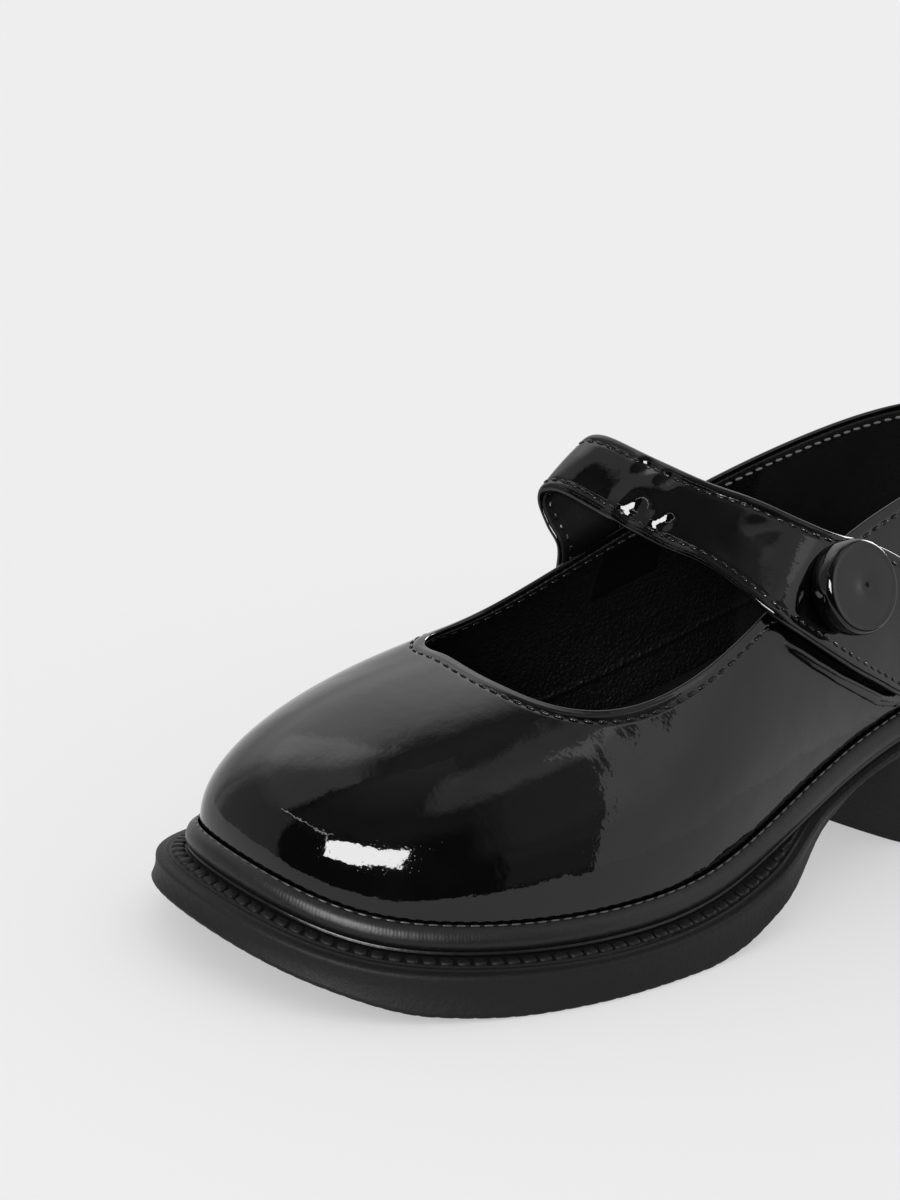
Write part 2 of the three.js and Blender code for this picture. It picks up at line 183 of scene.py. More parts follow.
# the last moved out along its normal
def shell(around, rise, out):
    return last(around, rise) + lastNormal(around, rise) * np.asarray(out)[..., None]


# the feather line moved outwards in plan and up: point + out * the direction square to the line, + up
def outline(around, out, up=0):
    around, out, up = np.broadcast_arrays(around, out, up)
    p = last(around, 0)
    d = last(around + 1e-4, 0) - last(around - 1e-4, 0)
    length = np.hypot(d[..., 0], d[..., 1])
    p[..., 0] += d[..., 1] / length * out
    p[..., 1] -= d[..., 0] / length * out
    p[..., 2] += up
    return p


# millimetres up the side for one unit of rise, close under the topline
def riseLength(around):
    return np.linalg.norm(last(around, 1) - last(around, .98), axis=-1) / .02


# mesh making: a part is (points, quads, uv of each quad's corners)
# quads over a grid of points, rows by columns: the columns close round, the rows where asked
def gridPart(points, closeRows=False):
    rows, cols = points.shape[:2]
    r, c = np.meshgrid(np.arange(rows if closeRows else rows - 1), np.arange(cols), indexing="ij")
    r, c = r.ravel(), c.ravel()
    corners = [(r, c), (r, c + 1), (r + 1, c + 1), (r + 1, c)]
    quads = np.stack([(a % rows) * cols + b % cols for a, b in corners], -1)
    uv = np.stack([np.stack((b / cols, a / rows), -1) for a, b in corners], 1)
    return points.reshape(-1, 3), quads, uv


# one small closed shape set at many places: point = centre + sum of axis * size * shape
def copiesPart(shape, centres, axes, sizes):
    points, quads, uv = shape
    scaled = points[None] * sizes[:, None]
    moved = centres[:, None] + (scaled[..., None] * axes[:, None]).sum(-2)
    count = len(centres)
    allQuads = quads[None] + (np.arange(count) * len(points))[:, None, None]
    return moved.reshape(-1, 3), allQuads.reshape(-1, 4), np.tile(uv, (count, 1, 1))


# a unit superellipsoid: powers of cosine and sine under 1 square it up
def roundedShape(sides, rings, square):
    power = lambda v: np.sign(v) * np.abs(v)**square
    a = np.linspace(0, 2 * np.pi, sides, endpoint=False)
    b = np.linspace(-np.pi / 2, np.pi / 2, rings)[:, None]
    ring, height = power(np.cos(b)), power(np.sin(b)) + 0 * a
    return gridPart(np.stack((ring * power(np.cos(a)), ring * power(np.sin(a)), height), -1))


# joins parts into one mesh object at the origin with a UV map; a part whose signed volume comes out
# negative is turned inside out
def makePiece(name, parts, material, replaces=(), sharp=None, weld=True):
    points, quads, uvs, start = [], [], [], 0
    for p, q, uv in parts:
        p = place(p)
        a, b, c, d = (p[q[:, k]] for k in range(4))
        if (a * (np.cross(b, c) + np.cross(c, d))).sum() < 0:
            q, uv = q[:, ::-1], uv[:, ::-1]
        points.append(p)
        quads.append(q + start)
        uvs.append(uv)
        start += len(p)
    points, quads, uvs = np.concatenate(points), np.concatenate(quads), np.concatenate(uvs)
    mesh = bpy.data.meshes.new(name)
    mesh.from_pydata(points, [], quads.tolist())
    mesh.uv_layers.new(name="surface").data.foreach_set("uv", uvs.astype(np.float32).ravel())
    if weld:
        work = bmesh.new()
        work.from_mesh(mesh)
        bmesh.ops.remove_doubles(work, verts=work.verts, dist=1e-7)
        bmesh.ops.dissolve_degenerate(work, edges=work.edges, dist=1e-8)
        work.to_mesh(mesh)
        work.free()
    mesh.validate()
    mesh.shade_smooth()
    if sharp:
        mesh.set_sharp_from_angle(angle=math.radians(sharp))
    mesh.materials.append(material)
    piece = bpy.data.objects.new(name, mesh)
    bpy.context.scene.collection.objects.link(piece)
    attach(piece, "root")
    if replaces:
        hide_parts(*replaces)
    print("made", name, len(mesh.polygons), "faces")


# shader maths: a wrapped socket, so that Python expressions add Math nodes
class Value:
    def __init__(self, graph, socket):
        self.graph = graph
        self.socket = socket

    def math(self, operation, *others):
        return self.graph.node("ShaderNodeMath", dict(operation=operation), [self, *others])

    def __add__(self, other):
        return self.math("ADD", other)

    def __mul__(self, other):
        return self.math("MULTIPLY", other)

    def __sub__(self, other):
        return self.math("SUBTRACT", other)

    def __rsub__(self, other):
        return self.graph.node("ShaderNodeMath", dict(operation="SUBTRACT"), [other, self])

    __radd__ = __add__
    __rmul__ = __mul__

    # smooth 0 to 1 between low and high
    def step(self, low, high):
        settings = dict(interpolation_type="SMOOTHSTEP", clamp=True)
        values = {"Value": self, "From Min": low, "From Max": high, "To Min": 0.0, "To Max": 1.0}
        return self.graph.node("ShaderNodeMapRange", settings, values)

    # 1 between low and high, easing to 0 over a soft edge at each
    def window(self, low, high, soft):
        half = soft / 2
        return self.step(low - half, low + half) * (1 - self.step(high - half, high + half))


# a node tree and one way to add a node: its type, its settings, then the values of its sockets
class Graph:
    def __init__(self, tree):
        self.tree = tree
        tree.nodes.clear()

    def node(self, kind, settings=None, values=None, output=0):
        node = self.tree.nodes.new(kind)
        for key, value in (settings or {}).items():
            setattr(node, key, value)
        items = values.items() if isinstance(values, dict) else enumerate(values or [])
        for key, value in items:
            if isinstance(value, Value):
                self.tree.links.new(value.socket, node.inputs[key])
            else:
                node.inputs[key].default_value = value
        return Value(self, node.outputs[output]) if node.outputs else None

    def objectPlace(self):
        return self.node("ShaderNodeTexCoord", output="Object")

    def parts(self, vector):
        split = self.node("ShaderNodeSeparateXYZ", None, [vector])
        return [Value(self, socket) for socket in split.socket.node.outputs]

    def noise(self, scale, detail=2.0, roughness=.5, warp=0.0):
        values = {"Vector": self.objectPlace(), "Scale": scale, "Detail": detail, "Roughness": roughness,
                  "Distortion": warp}
        return self.node("ShaderNodeTexNoise", dict(noise_dimensions="3D"), values)

    def cells(self, scale, feature="F1"):
        values = {"Vector": self.objectPlace(), "Scale": scale}
        return self.node("ShaderNodeTexVoronoi", dict(feature=feature), values, "Distance")

    # a colour between two colours; a Mix node keeps its colour sockets at 6 and 7
    def blend(self, factor, first, second):
        return self.node("ShaderNodeMix", dict(data_type="RGBA"), {0: factor, 6: first, 7: second}, 2)

    def bump(self, height, strength, distance, normal=None):
        values = {"Strength": strength, "Distance": distance, "Height": height}
        if normal:
            values["Normal"] = normal
        return self.node("ShaderNodeBump", None, values, "Normal")


# a grey as red, green, blue and alpha, a little bluer with tint
def grey(value, tint=0.0):
    return (value * (1 - tint), value, value * (1 + tint), 1)


# the sockets that a finish sets
def finish(base, roughness, normal, specular=.5):
    return {"Base Color": base, "Roughness": roughness, "Specular IOR Level": specular, "Normal": normal}


# a material whose build(graph) returns the values of the Principled sockets
def makeMaterial(name, build):
    material = bpy.data.materials.new(name)
    material.use_nodes = True
    graph = Graph(material.node_tree)
    surface = graph.node("ShaderNodeBsdfPrincipled", None, build(graph))
    graph.node("ShaderNodeOutputMaterial", None, {"Surface": surface})
    return material


patentLook = dict(black=.0022, roughness=.035, ior=1.47, ripple=.00028, rippleScale=85, fineRipple=.00004)


# high gloss: soft ripples, a finer skin with specks, and smears that are a little rougher
def buildPatent(graph):
    look = patentLook
    ripple = graph.noise(look["rippleScale"], 1.0, .4)
    fine = graph.noise(420)
    specks = graph.noise(1900, 1.0).step(.68, .8)
    normal = graph.bump(ripple, 1.0, look["ripple"])
    normal = graph.bump(fine + specks * .15, 1.0, look["fineRipple"], normal)
    smear = graph.noise(60, 3.0, .6).step(.45, .75)
    base = graph.blend(smear, grey(look["black"]), grey(look["black"] * 1.6, .05))
    return finish(base, smear * .02 + look["roughness"], normal) | {"IOR": look["ior"]}


liningLook = dict(black=.005, grainScale=1200, suedeFrom=.045)


# pebbled leather in front, turning to brushed leather towards the heel
def buildLining(graph):
    look = liningLook
    y = graph.parts(graph.objectPlace())[1]
    suede = y.step(look["suedeFrom"], look["suedeFrom"] + .004) * .7
    pebble = graph.cells(look["grainScale"], "SMOOTH_F1")
    fold = graph.noise(95, 3.0, .6, warp=.6)
    fibre = graph.noise(3200, 3.0, .7)
    height = pebble * (1 - suede) * .8 + fold * .9 + fibre * (suede * .5 + .12)
    normal = graph.bump(height, 1.0, .00042)
    wear = graph.noise(140, 4.0, .6)
    base = graph.blend(pebble.step(.1, .65), grey(look["black"] * 1.5, .04), grey(look["black"] * .7))
    base = graph.blend(suede, base, graph.blend(wear, grey(.002), grey(.005, .03)))
    return finish(base, suede * .2 + .42 + wear * .1, normal, .3)


# fine grain, duller where it is worn
def buildFootbed(graph):
    grain = graph.cells(1500, "SMOOTH_F1")
    wear = graph.noise(70, 4.0, .6)
    normal = graph.bump(grain * .5 + graph.noise(2600), .7, .00016)
    base = graph.blend(wear, grey(.002), grey(.005, .03))
    return finish(base, wear * .14 + .5, normal, .3)


rubberLook = dict(black=.0055, roughness=.5)


# moulded rubber: fine mould grain, pores, cloudy tone and a little dust
def buildRubber(graph):
    look = rubberLook
    mould = graph.noise(750, 4.0, .65)
    blotch = graph.noise(55, 3.0, .6)
    pores = graph.cells(900).step(0, .22)
    dust = graph.noise(240, 5.0, .7).step(.6, .82)
    normal = graph.bump(mould + pores * .25, .8, .00022)
    base = graph.blend(blotch, grey(look["black"] * .8, .02), grey(look["black"] * 1.25, .05))
    base = graph.blend(dust * .2, base, grey(.03, .04))
    return finish(base, mould * .16 + look["roughness"], normal, .23)


beadLook = dict(black=.006, roughness=.27, ribs=640)


# fine pressed ribs on the upper shoulder of the bead, the smooth round below
def buildBead(graph):
    look = beadLook
    u, v, _ = graph.parts(graph.node("ShaderNodeTexCoord", output="UV"))
    shoulder = v.step(.06, .12) * (1 - v.step(.3, .42))
    ribs = (u * (look["ribs"] * 2 * math.pi)).math("SINE") * .5 + .5
    normal = graph.bump(ribs * shoulder, .2, .00006)
    normal = graph.bump(graph.noise(240, 3.0, .6), .6, .00025, normal)
    wear = graph.noise(500, 4.0, .65)
    base = graph.blend(wear, grey(look["black"] * .8), grey(look["black"] * 1.3, .05))
    return finish(base, wear * .12 + look["roughness"] + shoulder * .1, normal, .4)


# waxed black thread with a diagonal twist
def buildThread(graph):
    twist = graph.node("ShaderNodeTexWave", dict(wave_type="BANDS", bands_direction="DIAGONAL"),
                       {"Vector": graph.objectPlace(), "Scale": 900.0, "Distortion": .4})
    base = graph.blend(twist, grey(.002), grey(.006, .03))
    return finish(base, twist * .06 + .16, graph.bump(twist, .5, .00008), .45)


# thread coloured pale as a painted highlight: the glint of light on the bead's stitches
def buildPaintedGlintThread(graph):
    twist = graph.noise(1500)
    # painted highlight: these pale greys stand in for light catching on the stitches
    base = graph.blend(twist, grey(.05), grey(.12))
    return finish(base, twist * .1 + .25, graph.bump(twist, .5, .00008))


# dark thread in front of the strap, worn pale round the collar
def buildInnerThread(graph):
    twist = graph.noise(1500)
    worn = graph.parts(graph.objectPlace())[1].step(0, .03)
    base = graph.blend(worn, grey(.004), graph.blend(twist, grey(.16), grey(.3)))
    return finish(base, twist * .1 + .3, graph.bump(twist, .5, .00008))


# matt black edge paint with a short fibre
def buildEdgeFold(graph):
    fibre = graph.noise(1400, 4.0, .7)
    base = graph.blend(fibre, grey(.0015), grey(.003, .02))
    return finish(base, fibre * .2 + .42, graph.bump(fibre, .7, .0001), .15)


patent = makeMaterial("patentLeather", buildPatent)
liningLeather = makeMaterial("liningLeather", buildLining)
footbedLeather = makeMaterial("footbedLeather", buildFootbed)
soleRubber = makeMaterial("soleRubber", buildRubber)
beadRubber = makeMaterial("beadRubber", buildBead)
sewingThread = makeMaterial("sewingThread", buildThread)
# thread for the bead stitches, pale as a painted highlight
paintedGlintThread = makeMaterial("paintedGlintThread", buildPaintedGlintThread)
innerThread = makeMaterial("innerThread", buildInnerThread)
edgeLeather = makeMaterial("edgeLeather", buildEdgeFold)
print("materials ready")


# stations of the strap: on the inner quarter, free over the instep, on the outer quarter
laidNames = "frontRound frontRise rearRound rearRise"
strapInner = named(laidNames, [
    [.762, .075, .794, .075], [.761, .25, .793, .25], [.7595, .45, .7915, .45], [.758, .65, .79, .66],
    [.7568, .84, .7885, .85],
])
strapFree = named("frontX frontAlong frontUp rearX rearAlong rearUp", [
    [-26.6, 132.3, 73.4, -24.4, 114.8, 81.8],
    [-29.4, 133.9, 78.6, -28.8, 119.3, 88.4],
    [-31.6, 134.9, 83.6, -31.4, 121, 94.6],
    [-30, 134.6, 87, -30, 121.1, 98.7],
    [-24.6, 132.8, 87.6, -24.6, 119.8, 100.2],
    [-12, 129, 84.6, -10.8, 116.7, 98.2],
    [3, 124.7, 81, 4.5, 112, 95.5],
    [18.2, 120, 78.4, 15.2, 104.5, 92.4],
])
strapOuter = named(laidNames, [
    [.2145, .99, .1785, 1.12], [.2015, .775, .166, .985], [.189, .59, .154, .86], [.1765, .425, .142, .72],
    [.1635, .28, .128, .57], [.152, .16, .113, .4], [.143, .09, .098, .23], [.138, .075, .089, .11],
])

# the upper: patent outside, folded over at the topline; a lining inside
upperShape = dict(patent=1.12, wall=1.8, grooveAt=2.7, grooveWidth=.55, groove=.22, puff=.2, toplineBand=.1,
                  rows=62, bandRows=31, rollRows=7, innerRows=34, wavesBelow=(3, 12), wavesAbove=(.02, .2))

# soft troughs (negative) and ridges on the vamp and quarters: place, half sizes, turn of the axes, depth
upperWaves = named("around rise widthAround widthRise turn depth", [
    [.275, .62, .03, .16, .35, -.3],
    [.315, .74, .022, .12, -.25, .22],
    [.34, .5, .03, .1, .2, -.16],
    [.24, .4, .026, .14, -.3, .18],
    [.205, .6, .02, .2, 0, -.2],
    [.68, .62, .03, .18, .2, -.28],
    [.72, .45, .024, .14, -.2, .2],
    [.8, .55, .03, .2, .1, -.25],
    [.12, .5, .04, .25, 0, -.22],
    [.88, .5, .04, .25, 0, -.22],
])


# sum of soft hills: depth * exp(-(a/width)^2 - (b/height)^2), with each hill's axes turned
def waves(table, around, rise):
    total = 0
    for i in range(len(table["depth"])):
        a = (around - table["around"][i] + .5) % 1 - .5
        b = rise - table["rise"][i]
        b = b - a / table["widthAround"][i] * table["turn"][i] * table["widthRise"][i]
        hill = -(a / table["widthAround"][i])**2 - (b / table["widthRise"][i])**2
        total = total + table["depth"][i] * np.exp(hill)
    return total


pressShape = dict(ahead=2.7, width=1.25, height=.95, perRound=630, topRise=.86, topFade=.12, foot=(.05, .2))


# fold pushed up in front of the strap: height * exp(-((d - ahead) / width)^2), where d is the distance
# in millimetres from the strap's front edge on the outer quarter
def strapPress(around, rise):
    s = pressShape
    edge = np.interp(rise, strapOuter["frontRise"][::-1], strapOuter["frontRound"][::-1])
    d = (around - edge) * s["perRound"]
    fade = smoothStep(s["topRise"] - rise, 0, s["topFade"]) * smoothStep(rise, *s["foot"])
    return s["height"] * hill(d, s["ahead"], s["width"]) * fade


# half circle over the topline, from the outside (depth 0) to the given depth of the wall
def edgeRoll(around, depth, steps):
    p, n = last(around, 1.0), lastNormal(around, 1.0)
    up = unit(p - last(around, .99))
    a = np.linspace(0, np.pi, steps + 2)[1:-1, None, None]
    radius = depth / 2
    return p + n * (radius * np.cos(a) - radius) + up * radius * np.sin(a)


# places round the shoe, closer together beside the strap on the outer quarter
def upperColumns():
    spans = [(0, .128, 60), (.128, .222, 170), (.222, 1, 370)]
    return np.concatenate([np.linspace(a, b, count, endpoint=False) for a, b, count in spans])


# the last moved out by its relief (sewn groove, puffed edge, waves, fold), rolled over at the topline
def makeUpper():
    s = upperShape
    around = upperColumns()
    band = 1 - s["toplineBand"]
    rise = np.concatenate((np.linspace(0, band, s["rows"]), np.linspace(band, 1, s["bandRows"])[1:]))
    rise = rise[:, None]
    below = (1 - rise) * riseLength(around)
    groove = -s["groove"] * hill(below, s["grooveAt"], s["grooveWidth"])
    puff = s["puff"] * hill(below, s["grooveAt"] / 2, s["grooveAt"] / 3)
    fade = smoothStep(below, *s["wavesBelow"]) * smoothStep(rise, *s["wavesAbove"])
    relief = groove + puff + waves(upperWaves, around, rise) * fade + strapPress(around, rise)
    outer = shell(around, rise, relief)
    roll = edgeRoll(around, s["patent"], s["rollRows"])
    inner = shell(around, np.linspace(1, 0, s["innerRows"])[:, None], -s["patent"])
    part = gridPart(np.concatenate((outer, roll, inner)), closeRows=True)
    makePiece("upperPatent", [part], patent, ["upper"], weld=False)


liningShape = dict(columns=520, rows=100, topGap=.9, sideGap=.04, crest=.3, fold=.55, foldBelow=(.06, .2),
                   seamRise=.235, seamDrop=.02, seamWidth=.012, seam=.5)
# soft folds of the lining, in the same columns
liningFolds = named("around rise widthAround widthRise turn depth", [
    [.69, .55, .012, .3, .9, .5],
    [.705, .4, .01, .26, .8, -.35],
    [.725, .6, .014, .22, -.6, .4],
    [.65, .5, .012, .3, .7, -.4],
    [.635, .42, .01, .22, .9, .35],
    [.805, .5, .016, .3, -.5, -.4],
    [.835, .6, .014, .24, .6, .35],
    [.3, .5, .014, .3, -.8, .4],
    [.27, .6, .012, .22, .6, -.3],
])


# inner wall from the footbed to just under the folded edge, with its own rounded top, soft folds and
# a seam where it steps in: wall + folds - seam groove + step below the seam
def makeLining():
    u, s = upperShape, liningShape
    around = placesRound(s["columns"])
    rise = np.linspace(0, 1, s["rows"])[:, None]
    top = 1 - s["topGap"] / riseLength(around)
    outer = shell(around, (rise * top)[::2], -u["patent"] - s["sideGap"])
    seam = s["seamRise"] + s["seamDrop"] * np.cos(4 * np.pi * around)
    fold = waves(liningFolds, around, rise) * smoothStep(1 - rise, *s["foldBelow"])
    fold = fold - s["seam"] * hill(rise, seam, s["seamWidth"])
    fold = fold + s["seam"] * smoothStep(seam - rise, 0, s["seamWidth"])
    inner = shell(around, (rise * top)[::-1], fold[::-1] * s["fold"] - u["wall"])
    crest = shell(around, top + s["crest"] / riseLength(around), -(u["patent"] + u["wall"]) / 2)[None]
    part = gridPart(np.concatenate((outer, crest, inner)), closeRows=True)
    makePiece("upperLining", [part], liningLeather, weld=False)


stitchShape = roundedShape(8, 7, .9)
stitchSink = .3  # share of a stitch's thickness that is pulled into the leather
stitchFlat = .8  # thickness over width
seamSteps = 4001  # points along a seam before its stitches are spaced out


# places along a closed or open line of points, a pitch apart: positions 0 to 1 along its list
def evenPlaces(path, pitch):
    length = lengthAlong(path)
    count = max(int(length[-1] / pitch), 2)
    return np.interp((np.arange(count) + .5) / count * length[-1], length, np.linspace(0, 1, len(path)))


# rounded stitches along a line of points, a pitch apart: each a share of the pitch long, leaning by
# run + side * lean
def stitchesAlong(points, normals, sewn):
    t = evenPlaces(points, sewn["pitch"])
    radius = sewn["radius"]
    grid = np.linspace(0, 1, len(points))
    at = lambda values, x: np.stack([np.interp(x, grid, values[:, k]) for k in range(3)], -1)
    centre = at(points, t)
    run = unit(at(points, np.clip(t + 2e-4, 0, 1)) - at(points, np.clip(t - 2e-4, 0, 1)))
    normal = unit(at(normals, t))
    side = unit(np.cross(normal, run))
    run = unit(run + side * sewn["lean"])
    side = unit(np.cross(normal, run))
    centre = centre + normal * radius * (1 - 2 * stitchSink)
    sizes = np.tile([radius, radius * stitchFlat, sewn["pitch"] * sewn["share"] / 2], (len(t), 1))
    return copiesPart(stitchShape, centre, np.stack((side, normal, run), 1), sizes)


toplineStitch = dict(pitch=3.3, share=.72, radius=.42, lean=.14)


# round the throat and collar, in the groove under the folded edge, and the same seam seen from inside
def makeToplineStitches():
    around = np.linspace(0, 1, seamSteps)
    rise = 1 - upperShape["grooveAt"] / riseLength(around)
    seam, normals = last(around, rise), lastNormal(around, rise)
    inside = stitchesAlong(seam - normals * upperShape["wall"], -normals, toplineStitch)
    makePiece("liningStitches", [inside], innerThread)
    outside = stitchesAlong(seam - normals * upperShape["groove"], normals, toplineStitch)
    makePiece("toplineStitches", [outside], sewingThread)


# two open grids of one size closed along their edges: the columns run over the top and back under it
def boxedSheet(top, back):
    ring = np.concatenate((top, back[:, ::-1]), axis=1)
    points, quads, uv = gridPart(ring)
    rows, cols = ring.shape[:2]
    k = np.arange(cols // 2 - 1)
    capUv = np.zeros((len(k), 4, 2))
    first = np.stack((k, k + 1, cols - 2 - k, cols - 1 - k), -1)
    second = first + (rows - 1) * cols
    # the caps turn opposite ways, like the two ends of a tube
    return points, np.concatenate((quads, first, second[:, ::-1])), np.concatenate((uv, capUv, capUv))


patchShape = dict(aroundFrom=.773, aroundTo=.805, riseFrom=.62, riseTo=.95, thick=.45, sink=.05, back=.3,
                  cells=40, square=14)


# smooth patch over the strap's root on the inner quarter: a thin plate on the lining, its thickness
# falling to nothing at the edges as (1 - a^n) (1 - b^n)
def makeInnerPatch():
    s = patchShape
    a = np.linspace(-1, 1, s["cells"])
    b = a[:, None]
    around = (s["aroundFrom"] + s["aroundTo"]) / 2 + (s["aroundTo"] - s["aroundFrom"]) / 2 * a
    rise = (s["riseFrom"] + s["riseTo"]) / 2 + (s["riseTo"] - s["riseFrom"]) / 2 * b
    edge = (1 - np.abs(a)**s["square"]) * (1 - np.abs(b)**s["square"])
    top = shell(around, rise, -upperShape["wall"] - s["thick"] * edge + s["sink"])
    back = shell(around, rise, -upperShape["wall"] + s["back"])
    makePiece("strapPatch", [boxedSheet(top, back)], edgeLeather)


makeUpper()
makeLining()
makeToplineStitches()
makeInnerPatch()


# the footbed
footbedShape = dict(columns=360, inset=2.2, thick=3.0, dish=1.2, edge=.6, edgeRows=6, topRows=16)


# rows from a ring to the middle line of the shoe: each point runs straight to halfway to its opposite
def spine(ring, levels):
    opposite = ring[(-np.arange(len(ring))) % len(ring)]
    t = np.linspace(0, 1, levels + 1)[1:, None, None]
    return ring + ((ring + opposite) / 2 - ring) * t


# a board with a rounded rim; its top sinks by dish * (1 - (1 - t)^2) from the rim to the middle line
def makeFootbed():
    s = footbedShape
    around = placesRound(s["columns"])
    inward, down = edgeArc(s["edge"], s["edgeRows"])
    rim = outline(around, -s["inset"] - inward, s["thick"] - down)
    top = spine(rim[-1], s["topRows"])
    t = np.linspace(0, 1, s["topRows"] + 1)[1:, None]
    top[..., 2] -= s["dish"] * (1 - (1 - t)**2)
    low = outline(around, -s["inset"])
    part = gridPart(np.concatenate((spine(low, 4)[::-1], low[None], rim, top)))
    makePiece("footbed", [part], footbedLeather, ["insole"])


makeFootbed()


# the moulded bead between the upper and the shelf; its profile is out and up from the feather line
beadShape = dict(columns=720, samples=5, profile=[
    [.5, 1.2], [1.1, 1.55], [1.8, 1.2], [2.7, .3], [3.3, -1.1], [3.45, -2.3], [3.3, -3.2], [2.9, -3.7],
    [3.05, -4.1], [2.9, -4.5], [.5, -4.5],
])


# Catmull-Rom round a closed list of points: each stretch is a cubic through its two ends
def closedCurve(points, samples):
    b = np.array(points, float)[:, None]
    a, c, d = np.roll(b, 1, 0), np.roll(b, -1, 0), np.roll(b, -2, 0)
    t = np.arange(samples)[:, None] / samples
    rows = b + (c - a) * t / 2 + (2 * a - 5 * b + 4 * c - d) * t**2 / 2 + (3 * b - a - 3 * c + d) * t**3 / 2
    return rows.reshape(-1, 2)


# the profile carried round the feather line: out * the direction square to the line, and up
def makeBead():
    s = beadShape
    around = placesRound(s["columns"])
    profile = closedCurve(s["profile"], s["samples"])
    points = outline(around, profile[:, :1], profile[:, 1:])
    makePiece("bead", [gridPart(points, closeRows=True)], beadRubber, ["rand"], weld=False)


beadStitch = dict(pitch=3.1, share=.7, radius=.24, lean=0, out=.95, up=1.6, tilt=.9)


# stitches along the bead's shoulder, facing outwards and up, coloured pale as a painted highlight
def makeBeadStitches():
    s = beadStitch
    around = np.linspace(0, 1, seamSteps)
    seam = outline(around, s["out"], s["up"])
    normals = unit(outline(around, 1, s["tilt"]) - outline(around, 0))
    makePiece("beadStitches", [stitchesAlong(seam, normals, s)], paintedGlintThread)


makeBead()
makeBeadStitches()


# the sole unit: platform, shelf with two fine ridges, rounded rim, side wall, tread
soleShape = dict(columns=900, gap=.3, overlap=.4, shelfInner=4.6, shelfDrop=5.8, rimRadius=1.0,
                 shelfRows=[(5.2, 3.8, 4), (3.6, .2, 23), (0, 0, 1)], shelfLeast=1.8, shelfInset=.3,
                 ridgeAt=(1.5, 2.9), ridgeWidth=.32, ridge=.34, ridgeFrom=(5, 8), wallRows=14, wallHollow=.35,
                 wallRough=.05, edgeRadius=.8, notchPitch=4.2, notch=.3, notchSharpness=6, treadRows=14,
                 rimRows=6, edgeRows=5)


# fall of the shelf below the feather line, straight from beside the bead to the rim
def shelfDropAt(out, rim):
    s = soleShape
    return s["shelfInner"] + (s["shelfDrop"] - s["shelfInner"]) * np.clip(out / (rim - s["rimRadius"]), 0, 1)


# smooth seeded unevenness round the sole: sum of sin(2 pi n around + phase) / sqrt(n), phases at random
def soleNoise(around, level, seed=5):
    random = np.random.default_rng(seed)
    total = 0
    for n in (37, 61, 97, 151):
        phase = random.uniform(0, 2 * np.pi) + level * random.uniform(1, 4)
        total = total + np.sin(2 * np.pi * n * around + phase) / n**.5
    return total


# rows from the middle of the platform over shelf, rim, wall and lower edge to the middle of the tread;
# the wall is a straight blend from rim to edge, hollowed and roughened by a sine of its height
def makeSole():
    s = soleShape
    around = placesRound(s["columns"])
    along = last(around, 0)[:, 1]
    rim, foot = curve(shelf, "rim", along), curve(shelf, "foot", along)
    inside = outline(around, -s["overlap"], -s["gap"])
    corner = outline(around, 0, -s["shelfInner"])
    # rows of the shelf by their distance from the rim, closer together where the ridges are
    d = np.concatenate([np.linspace(*span) for span in s["shelfRows"]])[:, None]
    out = np.maximum(rim - s["rimRadius"] - np.minimum(d, rim - s["shelfLeast"]), s["shelfInset"])
    ridge = s["ridge"] * sum(hill(d, at, s["ridgeWidth"]) for at in s["ridgeAt"])
    top = outline(around, out, ridge * smoothStep(rim, *s["ridgeFrom"]) - shelfDropAt(out, rim))
    down, inward = edgeArc(s["rimRadius"], s["rimRows"])
    lip = outline(around, rim - inward[1:], -s["shelfDrop"] - down[1:])
    low = outline(around, foot)
    low[:, 2] = curve(under, "up", low[:, 1]) + s["edgeRadius"]
    t = np.linspace(0, 1, s["wallRows"])[1:, None]
    relief = (s["wallRough"] * soleNoise(around, t) - s["wallHollow"]) * np.sin(np.pi * t)
    outward = unit(outline(around, 1) - outline(around, 0))
    wall = lip[-1] + (low - lip[-1]) * t[..., None] + outward * relief[..., None]
    wave = .5 + .5 * np.cos(2 * np.pi * lengthAlong(low) / s["notchPitch"])
    inward, up = edgeArc(s["edgeRadius"], s["edgeRows"])
    notch = s["notch"] * wave**s["notchSharpness"] * (1 - up / s["edgeRadius"])
    edge = outline(around, (foot - inward - notch)[1:])
    edge[..., 2] = curve(under, "up", edge[..., 1]) + up[1:]
    tread = spine(edge[-1], s["treadRows"])
    tread[..., 2] = curve(under, "up", tread[..., 1])
    rows = (spine(inside, 4)[::-1], inside[None], corner[None], top, lip, wall, edge, tread)
    makePiece("soleUnit", [gridPart(np.concatenate(rows))], soleRubber, ["outsole"], sharp=50)


cogShape = dict(pitch=3.7, share=.86, widest=3.1, narrowest=.5, narrowing=1.6, inner=3.5, rimClear=3.9,
                height=.85, square=.6)


# a wheeled strip beside the bead: small square teeth, width = narrowing * what the shelf leaves free
def makeCogs():
    s = cogShape
    around = evenPlaces(outline(np.linspace(0, 1, seamSteps), s["inner"] + 1), s["pitch"])
    rim = curve(shelf, "rim", last(around, 0)[:, 1])
    width = np.clip((rim - s["inner"] - s["rimClear"]) * s["narrowing"], 0, s["widest"])
    around, rim, width = (column[width > s["narrowest"]] for column in (around, rim, width))
    middle = s["inner"] + width / 2
    centre = outline(around, middle, -shelfDropAt(middle, rim))
    out = unit(outline(around, 1) - outline(around, 0))
    run = unit(last(around + 1e-4, 0) - last(around - 1e-4, 0))
    up = unit(np.cross(out, run))
    up = up * np.sign(up[:, 2:3])
    run = np.cross(up, out)
    sizes = np.stack((width / 2, 0 * width + s["pitch"] * s["share"] / 2, 0 * width + s["height"]), -1)
    teeth = copiesPart(roundedShape(12, 9, s["square"]), centre, np.stack((out, run, up), 1), sizes)
    makePiece("cogStrip", [teeth], soleRubber)


makeSole()
makeCogs()


